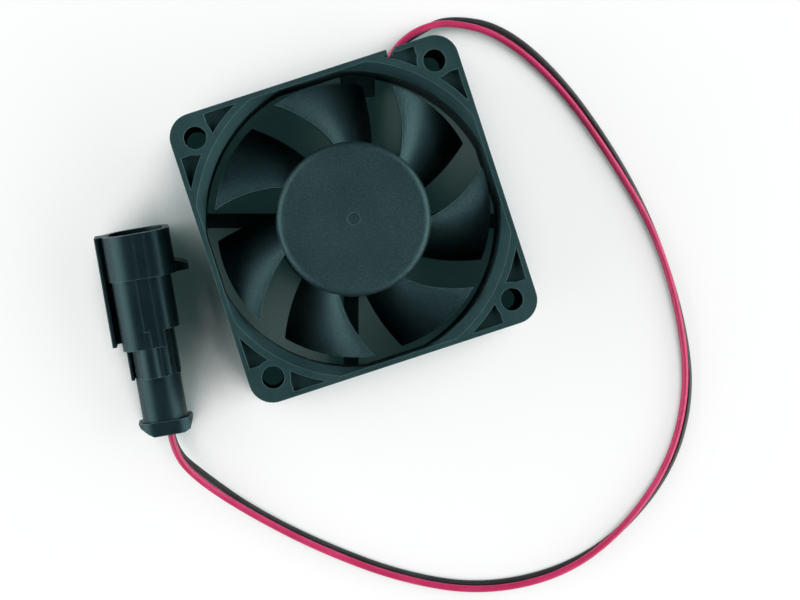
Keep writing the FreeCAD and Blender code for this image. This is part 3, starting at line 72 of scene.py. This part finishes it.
class Shader:
    """A node material under construction; coordinates are the object's own, in metres."""

    def __init__(self, name):
        self.material = bpy.data.materials.new(name)
        self.material.use_nodes = True
        self.tree = self.material.node_tree
        self.surface = self.tree.nodes["Principled BSDF"]
        self.place = self.node("ShaderNodeTexCoord").outputs["Object"]

    def node(self, kind, **settings):
        """A new node; a setting is a property, or an input if the node has one of that name."""
        item = self.tree.nodes.new(kind)
        for key, value in settings.items():
            target = key.replace("_", " ").title() if not hasattr(item, key) else None
            if target is None:
                setattr(item, key, value)
            else:
                item.inputs[target].default_value = value
        return item

    def link(self, source, target):
        self.tree.links.new(source, target)

    def noise(self, scale, detail=4.0, roughness=0.6):
        """Value of a noise whose scale is in grains per millimetre."""
        item = self.node("ShaderNodeTexNoise", scale=scale / MM, detail=detail, roughness=roughness)
        self.link(self.place, item.inputs["Vector"])
        return item.outputs["Fac"]

    def ramp(self, value, low, high, start=0.35, end=0.65):
        """Colour or number from low to high as the value goes from start to end."""
        item = self.node("ShaderNodeMapRange", clamp=True)
        item.inputs["From Min"].default_value = start
        item.inputs["From Max"].default_value = end
        self.link(value, item.inputs["Value"])
        if not isinstance(low, tuple):
            item.inputs["To Min"].default_value = low
            item.inputs["To Max"].default_value = high
            return item.outputs["Result"]
        return self.mixed(item.outputs["Result"], low, high)

    def mixed(self, factor, low, high):
        """Colour that is low where the factor is 0 and high where it is 1, each a socket or a tuple."""
        mix = self.node("ShaderNodeMix", data_type="RGBA")
        self.link(factor, mix.inputs["Factor"])
        for index, color in ((MIX_FIRST, low), (MIX_SECOND, high)):
            if isinstance(color, tuple):
                mix.inputs[index].default_value = (*color, 1.0)
            else:
                self.link(color, mix.inputs[index])
        return mix.outputs[MIX_RESULT]

    def edges(self, radius):
        """Factor that is 1 along sharp edges and 0 elsewhere; the radius is in millimetres."""
        rounded = self.node("ShaderNodeBevel", samples=EDGE_MASK_SAMPLES)
        rounded.inputs["Radius"].default_value = radius * MM
        agree = self.node("ShaderNodeVectorMath", operation="DOT_PRODUCT")
        self.link(rounded.outputs["Normal"], agree.inputs[0])
        self.link(self.node("ShaderNodeNewGeometry").outputs["True Normal"], agree.inputs[1])
        return self.ramp(agree.outputs["Value"], 1.0, 0.0, EDGE_SHARP, EDGE_FLAT)

    def math(self, operation, first, second):
        """Result of a maths node; each operand is a socket or a number."""
        item = self.node("ShaderNodeMath", operation=operation)
        for index, operand in enumerate((first, second)):
            if isinstance(operand, (int, float)):
                item.inputs[index].default_value = operand
            else:
                self.link(operand, item.inputs[index])
        return item.outputs[0]

    def bump(self, heights, round_edges=0.0):
        """Bumps from (height socket, depth in millimetres) pairs, over rounded edges where asked."""
        normal = None
        if round_edges:
            edge = self.node("ShaderNodeBevel", samples=ROUND_SAMPLES)
            edge.inputs["Radius"].default_value = round_edges * MM
            normal = edge.outputs["Normal"]
        for height, depth in heights:
            item = self.node("ShaderNodeBump")
            item.inputs["Strength"].default_value = 1.0
            item.inputs["Distance"].default_value = depth * MM
            self.link(height, item.inputs["Height"])
            if normal is not None:
                self.link(normal, item.inputs["Normal"])
            normal = item.outputs["Normal"]
        self.link(normal, self.surface.inputs["Normal"])

    def finish(self, color, roughness, metallic=0.0, specular=0.5):
        """Links or sets the main inputs of the surface."""
        for key, value in (("Base Color", color), ("Roughness", roughness)):
            if isinstance(value, tuple):
                self.surface.inputs[key].default_value = (*value, 1.0)
            elif isinstance(value, float):
                self.surface.inputs[key].default_value = value
            else:
                self.link(value, self.surface.inputs[key])
        self.surface.inputs["Metallic"].default_value = metallic
        self.surface.inputs["Specular IOR Level"].default_value = specular
        return self.material


EDGE_HIGHLIGHT_WIDTH = 0.22                       # width of the painted highlight line along an edge, in millimetres
# pale colour painted along sharp edges as a highlight
EDGE_HIGHLIGHT_COLOR = (0.09, 0.17, 0.165)
PLASTIC_SHEEN = (0.50, 0.95, 1.0)      # tint of the plastic's gloss
SPECK_SHARE = 0.55                     # how far the palest specks cover the colour below
GLINT_SPECK_TONES = (1.5, 1.9)               # brightness of the pale specks against the plastic, partly the plastic's own flecks and partly painted glints
CLOUD_DEPTH = 0.02                     # waviness of the surface, in millimetres


def moulded_plastic(name, dark, light, rough, grain, edge=0.12, specular=0.4, edge_shine=0.8, glint_specks=1.0):
    """Glass-filled plastic: cloudy colour, pale specks that are partly painted glints, grain in the
    gloss, fine texture, a painted highlight along sharp edges.
    """
    shader = Shader(name)
    clouds = shader.noise(0.09, detail=3.0)
    specks = shader.noise(2.6, detail=6.0, roughness=0.75)
    # pale specks, partly the plastic's own flecks and partly painted glints; the impeller's are made
    # brighter
    glint_tones = [tuple(tone * glint_specks * part for part in light) for tone in GLINT_SPECK_TONES]
    color = shader.mixed(shader.ramp(specks, 0.0, SPECK_SHARE, start=0.45, end=0.75),
                         shader.ramp(clouds, dark, light), shader.ramp(clouds, *glint_tones))
    # painted highlight: sharp edges are lightened in colour
    edge_highlight = shader.math("MULTIPLY", shader.edges(EDGE_HIGHLIGHT_WIDTH), edge_shine)
    color = shader.mixed(edge_highlight, color, EDGE_HIGHLIGHT_COLOR)
    gloss = shader.math("ADD", shader.ramp(specks, rough - 0.1, rough + 0.1),
                        shader.ramp(clouds, -0.04, 0.04))
    shader.bump([(clouds, CLOUD_DEPTH), (shader.noise(1.3, detail=5.0), grain), (specks, 0.6 * grain)],
                edge)
    shader.surface.inputs["Specular Tint"].default_value = (*PLASTIC_SHEEN, 1.0)
    return shader.finish(color, gloss, specular=specular)


LINE_STRETCH = 14.0                    # closeness of a turned part's lines along its axis


def brushed_metal(name, color, rough):
    """Turned metal with fine lines and a cloudy sheen."""
    shader = Shader(name)
    stretch = shader.node("ShaderNodeMapping")
    stretch.inputs["Scale"].default_value = (1.0, 1.0, LINE_STRETCH)
    shader.link(shader.place, stretch.inputs["Vector"])
    lines = shader.node("ShaderNodeTexNoise", scale=0.7 / MM, detail=4.0)
    shader.link(stretch.outputs["Vector"], lines.inputs["Vector"])
    fine = lines.outputs["Fac"]
    tone = shader.ramp(fine, tuple(0.8 * part for part in color), color)
    shader.bump([(fine, 0.004)])
    return shader.finish(tone, shader.ramp(fine, rough - 0.08, rough + 0.1), metallic=1.0)


def insulation(name, dark, light, rough):
    """Soft lead insulation with faint length marks and dust."""
    shader = Shader(name)
    clouds = shader.noise(0.12, detail=3.0)
    dust = shader.noise(1.8, detail=5.0, roughness=0.7)
    shader.bump([(shader.noise(0.5, detail=3.0), 0.02), (dust, 0.004)])
    return shader.finish(shader.ramp(clouds, dark, light), shader.ramp(dust, rough - 0.08, rough + 0.12))


def circuit_material():
    """Green solder mask over copper runs."""
    shader = Shader("circuit_board")
    cells = shader.node("ShaderNodeTexVoronoi", feature="DISTANCE_TO_EDGE", scale=0.45 / MM)
    shader.link(shader.place, cells.inputs["Vector"])
    color = shader.ramp(cells.outputs["Distance"], (0.02, 0.10, 0.04), (0.01, 0.20, 0.07),
                        start=0.04, end=0.07)
    shader.bump([(cells.outputs["Distance"], 0.02)])
    return shader.finish(color, 0.35)


def winding_material():
    """Enamelled copper wire wound in close turns."""
    shader = Shader("enamelled_copper")
    wave = shader.node("ShaderNodeTexWave", bands_direction="Z", scale=1.6 / MM)
    shader.link(shader.place, wave.inputs["Vector"])
    color = shader.ramp(wave.outputs["Fac"], (0.30, 0.09, 0.03), (0.78, 0.34, 0.14),
                        start=0.1, end=0.9)
    shader.bump([(wave.outputs["Fac"], 0.05)])
    return shader.finish(color, 0.32, metallic=0.9)


def plain_solid(name, dark, light, rough, metallic=0.0):
    """Small parts: cloudy colour and fine grain."""
    shader = Shader(name)
    clouds = shader.noise(0.5, detail=3.0)
    shader.bump([(shader.noise(3.0), 0.006)])
    return shader.finish(shader.ramp(clouds, dark, light), shader.ramp(clouds, rough, rough + 0.1),
                         metallic=metallic)


def label_material():
    """Bare silver-grey film."""
    shader = Shader("label_film")
    grain = shader.noise(1.5)
    shader.bump([(grain, 0.004)])
    return shader.finish(shader.ramp(grain, (0.60, 0.61, 0.62), (0.70, 0.71, 0.72)), 0.42, metallic=0.3)


def paint_nodes():
    """Gives every node of the frame its finish."""
    frame_plastic = moulded_plastic("frame_plastic", (0.010, 0.028, 0.029), (0.018, 0.042, 0.043),
                                    rough=0.52, grain=0.025, edge=0.2, specular=0.37)
    blade_plastic = moulded_plastic("impeller_plastic", (0.005, 0.014, 0.015), (0.008, 0.018, 0.020),
                                    rough=0.43, grain=0.09, specular=0.60, edge_shine=0.5, glint_specks=2.4)
    plug_plastic = moulded_plastic("connector_plastic", (0.004, 0.012, 0.014), (0.007, 0.017, 0.020),
                                   rough=0.40, grain=0.012)
    steel = brushed_metal("bearing_steel", (0.66, 0.67, 0.69), 0.22)
    dull_steel = brushed_metal("dull_steel", (0.45, 0.46, 0.48), 0.4)
    red = insulation("red_insulation", (0.45, 0.015, 0.088), (0.56, 0.028, 0.13), 0.42)
    black = insulation("black_insulation", (0.012, 0.016, 0.018), (0.024, 0.030, 0.032), 0.45)
    rubber = plain_solid("seal_rubber", (0.05, 0.16, 0.10), (0.07, 0.20, 0.13), 0.5)
    ivory = plain_solid("insulator_plastic", (0.62, 0.60, 0.50), (0.72, 0.70, 0.60), 0.5)
    chip = plain_solid("chip_plastic", (0.018, 0.018, 0.018), (0.03, 0.03, 0.03), 0.5)
    copper = winding_material()
    finishes = {
        frame_plastic: ["frame_housing"],
        blade_plastic: ["impeller"],
        plug_plastic: ["connector_housing", "connector_collar", "pin_lock_plate"],
        steel: ["rear_bearing_outer_race", "rear_bearing_inner_race", "rear_balls",
                "front_bearing_outer_race", "front_bearing_inner_race", "front_balls", "shaft"],
        dull_steel: ["rear_bearing_shields", "front_bearing_shields", "retaining_clip",
                     "preload_spring", "rotor_yoke", "stator_core"],
        brushed_metal("brass", (0.72, 0.52, 0.22), 0.3): ["bearing_tube"],
        plain_solid("ferrite", (0.03, 0.028, 0.026), (0.05, 0.046, 0.042), 0.6): ["ring_magnet"],
        ivory: ["rear_ball_cage", "front_ball_cage", "thrust_washer", "lower_insulator",
                "upper_insulator"],
        copper: [f"winding_{index}" for index in range(1, 5)],
        circuit_material(): ["circuit_board"],
        chip: ["hall_sensor", "driver_chip", "resistors"],
        plain_solid("ceramic", (0.50, 0.38, 0.26), (0.58, 0.45, 0.32), 0.4): ["capacitor"],
        plain_solid("solder", (0.62, 0.62, 0.62), (0.72, 0.72, 0.72), 0.25, 1.0): ["solder_joints"],
        label_material(): ["rear_label"],
        red: ["red_lead_inner", "red_lead_end"],
        black: ["black_lead_inner", "black_lead_end"],
        rubber: ["red_wire_seal", "black_wire_seal"],
        plain_solid("contact_tin", (0.68, 0.66, 0.60), (0.76, 0.74, 0.68), 0.25, 1.0):
            ["red_contact_pin", "black_contact_pin"],
    }
    for material, names in finishes.items():
        for name in names:
            NODES[name].data.materials.clear()
            NODES[name].data.materials.append(material)
    return red, black


# ---------------------------------------------------------------- leads
LEAD_DIAMETER = 1.4 * MM
LEAD_STEPS = 24                        # steps of the curve between two of its points
LEAD_ROUNDNESS = 6                     # fineness of its round section
RED_ROUTE = [
    (17.95, 29.44, 3.25), (20.03, 31.31, 3.25),
    (25.2, 33.2, 2.95), (31.4, 32.9, 2.6), (40.8, 27.5, 1.75), (49.4, 14.0, 1.5), (55.7, -6.3, 1.95),
    (59.2, -23.5, 2.3), (58.2, -42.7, 2.25), (54.4, -56.5, 1.9), (46.2, -68.8, 1.9),
    (32.6, -78.5, 2.3), (18.3, -83.0, 2.0), (1.6, -81.0, 1.8), (-13.3, -73.2, 2.0),
    (-27.1, -62.1, 2.0), (-38.3, -50.7, 2.8), (-46.1, -40.9, 5.1),
    (-49.06, -34.16, 7.78), (-48.41, -29.72, 8.19)]
BLACK_ROUTE = [
    (17.95, 29.44, 1.75), (20.03, 31.31, 1.75),
    (25.5, 32.7, 1.4), (31.7, 33.7, 1.1), (42.1, 28.6, 0.75), (50.6, 14.5, 0.75), (56.8, -6.1, 0.75),
    (59.2, -23.5, 0.75), (58.7, -42.7, 0.75), (55.4, -56.9, 0.75), (46.9, -69.5, 0.75),
    (32.6, -78.7, 0.75), (18.2, -82.0, 0.75), (1.8, -80.0, 0.75), (-12.8, -72.4, 0.75),
    (-26.4, -61.4, 0.75), (-37.7, -50.1, 1.1), (-45.1, -39.9, 2.0),
    (-48.99, -33.70, 2.80), (-48.34, -29.27, 3.21)]


def make_lead(name, route, material, node):
    """Free lead along its route, as a smooth round curve."""
    data = bpy.data.curves.new(name, "CURVE")
    data.dimensions = "3D"
    data.bevel_depth = LEAD_DIAMETER / 2
    data.bevel_resolution = LEAD_ROUNDNESS
    data.resolution_u = LEAD_STEPS
    data.use_fill_caps = True
    spline = data.splines.new("NURBS")
    spline.points.add(len(route) - 1)
    for point, place in zip(spline.points, route):
        point.co = (*(MM * part for part in place), 1.0)
    spline.order_u = 3
    spline.use_endpoint_u = True
    data.materials.append(material)
    lead = bpy.data.objects.new(name, data)
    bpy.context.scene.collection.objects.link(lead)
    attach(lead, "fan_frame")
    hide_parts(node)


# ---------------------------------------------------------------- edges of the moulded parts
EDGE_WIDTHS = {"frame_housing": 0.18, "impeller": 0.12, "connector_housing": 0.15,
               "connector_collar": 0.15}    # millimetres
FLATTEST_EDGE = math.radians(28.0)     # edges that turn by less stay as they are


def soften_edges(name, width):
    """Small radius on the sharp edges of a moulded node."""
    node = NODES[name]
    bevel = node.modifiers.new("edge_radius", "BEVEL")
    bevel.width = width * MM
    bevel.segments = 2
    bevel.limit_method = "ANGLE"
    bevel.angle_limit = FLATTEST_EDGE
    bevel.harden_normals = True


# ---------------------------------------------------------------- floor and light
OVERHEAD = 0.03                        # light from straight above
RIGHT_PANEL, LEFT_PANEL = 4.0, 3.4     # light added by each panel
PANEL_EDGE, PANEL_FULL = 0.40, 0.80    # sine of the angle from overhead where a panel starts and is full
FLOOR_HALF = 3.0                       # metres from the sheet's middle to its sides
FLOOR_LEVEL = -0.00002                 # just under the face that the fan rests on
FLOOR_SHADOW_GLOW = 0.015                     # painted glow, for the camera only, that lifts the floor's deepest shadows to this least brightness
SHADOW_GLOW_COLOR = (0.25, 1.0, 0.95)         # teal colour of that painted glow
FLOOR_COLOR = (0.93, 0.95, 0.94)
FLOOR_PAINTED_SHADE = (0.38, 0.50, 0.47)      # painted shade: the sheet's darker colour where the part hems it in
FLOOR_GLOW = 0.7                       # how far the floor's open stretches are plain white
SHADE_REACH = 60.0                     # millimetres within which the part shades the floor
SHADED_OPENNESS, CLEAR_OPENNESS = 0.2, 0.6    # open share of the sky where the sheet is shaded, clear
GLOW_START, GLOW_FULL = 0.42, 0.64     # open share of the sky where plain white starts and is full


def make_floor():
    """Wide white sheet under the part, white to the camera where nothing shades it, with painted shade
    darkening its colour near the part and a faint painted glow in its shadows.
    """
    mesh = bpy.data.meshes.new("floor")
    mesh.from_pydata([(x * FLOOR_HALF, y * FLOOR_HALF, FLOOR_LEVEL)
                      for x, y in ((-1, -1), (1, -1), (1, 1), (-1, 1))], [], [(0, 1, 2, 3)])
    shader = Shader("floor_white")
    shader.finish(FLOOR_COLOR, 0.9, specular=0.1)
    # painted glow for the camera that lifts the floor's shadows to a teal least brightness
    shader.surface.inputs["Emission Color"].default_value = (*SHADOW_GLOW_COLOR, 1.0)
    seen = shader.node("ShaderNodeLightPath").outputs["Is Camera Ray"]
    shader.link(shader.math("MULTIPLY", seen, FLOOR_SHADOW_GLOW), shader.surface.inputs["Emission Strength"])
    shade = shader.node("ShaderNodeAmbientOcclusion", samples=SHADE_SAMPLES)
    shade.inputs["Distance"].default_value = SHADE_REACH * MM
    # painted shade: the sheet's colour darkens where the part hems it in
    shader.link(shader.ramp(shade.outputs["AO"], FLOOR_PAINTED_SHADE, FLOOR_COLOR, SHADED_OPENNESS,
                            CLEAR_OPENNESS), shader.surface.inputs["Base Color"])
    open_share = shader.ramp(shade.outputs["AO"], 0.0, FLOOR_GLOW, GLOW_START, GLOW_FULL)
    plain = shader.node("ShaderNodeEmission")
    mix = shader.node("ShaderNodeMixShader")
    shader.link(shader.math("MULTIPLY", seen, open_share), mix.inputs["Fac"])
    shader.link(shader.surface.outputs["BSDF"], mix.inputs[1])
    shader.link(plain.outputs["Emission"], mix.inputs[2])
    shader.link(mix.outputs["Shader"], shader.tree.nodes["Material Output"].inputs["Surface"])
    mesh.materials.append(shader.material)
    floor = bpy.data.objects.new("floor", mesh)
    bpy.context.scene.collection.objects.link(floor)


def make_light():
    """Dim overhead, with two broad soft panels of light low down left and right of the picture."""
    world = bpy.data.worlds.new("surroundings")
    world.use_nodes = True
    tree = world.node_tree
    way = tree.nodes.new("ShaderNodeTexCoord").outputs["Generated"]
    across = tree.nodes.new("ShaderNodeVectorMath")
    across.operation = "DOT_PRODUCT"
    across.inputs[1].default_value = CAMERA_RIGHT
    tree.links.new(way, across.inputs[0])
    sums = [tree.nodes.new("ShaderNodeMath") for _ in range(2)]
    sums[0].inputs[0].default_value = OVERHEAD
    tree.links.new(sums[0].outputs[0], sums[1].inputs[0])
    for total, start, end, strength in ((sums[0], PANEL_EDGE, PANEL_FULL, RIGHT_PANEL),
                                        (sums[1], -PANEL_EDGE, -PANEL_FULL, LEFT_PANEL)):
        panel = tree.nodes.new("ShaderNodeMapRange")
        panel.interpolation_type = "SMOOTHSTEP"
        panel.inputs["From Min"].default_value = start
        panel.inputs["From Max"].default_value = end
        panel.inputs["To Max"].default_value = strength
        tree.links.new(across.outputs["Value"], panel.inputs["Value"])
        tree.links.new(panel.outputs["Result"], total.inputs[1])
    shown = tree.nodes.new("ShaderNodeMix")
    tree.links.new(tree.nodes.new("ShaderNodeLightPath").outputs["Is Camera Ray"], shown.inputs["Factor"])
    tree.links.new(sums[1].outputs[0], shown.inputs["A"])
    shown.inputs["B"].default_value = 1.0
    tree.links.new(shown.outputs["Result"], tree.nodes["Background"].inputs["Strength"])
    tree.nodes["Background"].inputs["Color"].default_value = (1.0, 1.0, 1.0, 1.0)
    bpy.context.scene.world = world


make_camera()
red_finish, black_finish = paint_nodes()
for color_name, route, finish in (("red", RED_ROUTE, red_finish), ("black", BLACK_ROUTE, black_finish)):
    make_lead(f"{color_name}_free_lead", route, finish, f"{color_name}_lead")
for moulded, edge_width in EDGE_WIDTHS.items():
    soften_edges(moulded, edge_width)
make_floor()
make_light()

bpy.context.scene.view_settings.view_transform = "Standard"
